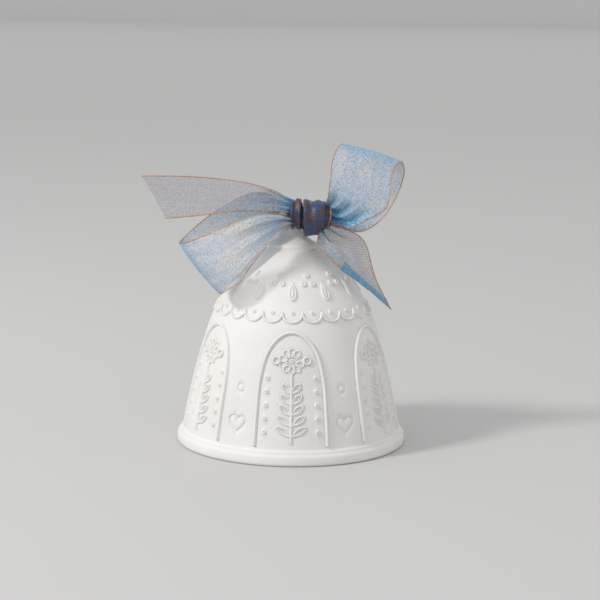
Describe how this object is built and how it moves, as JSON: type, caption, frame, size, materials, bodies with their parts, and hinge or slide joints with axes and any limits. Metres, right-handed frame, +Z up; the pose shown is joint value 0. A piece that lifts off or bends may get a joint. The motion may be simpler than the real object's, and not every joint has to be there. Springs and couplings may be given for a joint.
{
  "type": "porcelain christmas bell ornament",
  "caption": "White matte porcelain bell with raised folk-art relief, a swinging bead clapper and a sheer wired-edge ribbon bow tied on its crown eye.",
  "frame": {"origin": "centre of the rim's flat face, on the bell's axis", "axes": "+Z up along the bell's axis from rim to crown; -Y is the front, so a viewer at -Y looks along +Y with +X to the right"},
  "size_m": [0.0935, 0.08, 0.105],
  "materials": {
    "bisque_porcelain": "matte unglazed",
    "bead_porcelain": "matte unglazed",
    "cement": "matte",
    "steel_wire": "drawn wire",
    "organza": "sheer iridescent weave",
    "copper_wire": "copper-coloured thread over wire"
  },
  "bodies": {
    "bell": {"bell_body": "bisque_porcelain", "staple_cement": "cement", "clapper_staple": "steel_wire", "ribbon_knot": "organza", "ribbon_eye_wrap": "organza", "ribbon_left_tail": "organza", "edge_wires_left_tail": "copper_wire", "ribbon_left_loop": "organza", "edge_wires_left_loop": "copper_wire", "ribbon_right_loop": "organza", "edge_wires_right_loop": "copper_wire", "ribbon_right_tail": "organza", "edge_wires_right_tail": "copper_wire"},
    "link": {"swing_link": "steel_wire"},
    "clapper": {"clapper_stem": "steel_wire"},
    "bead": {"clapper_bead": "bead_porcelain"}
  },
  "joints": [
    {"name": "link_swing", "type": "hinge", "parent": "bell", "child": "link", "pos_m": [0, 0, 0.061], "axis": [1, 0, 0], "range_deg": [-31, 31]},
    {"name": "clapper_swing", "type": "hinge", "parent": "link", "child": "clapper", "pos_m": [0, 0, 0.0577], "axis": [0, 1, 0], "range_deg": [-12, 12]},
    {"name": "bead_spin", "type": "hinge", "parent": "clapper", "child": "bead", "pos_m": [0, 0, 0.0141], "axis": [0, 0, 1], "continuous": true}
  ]
}
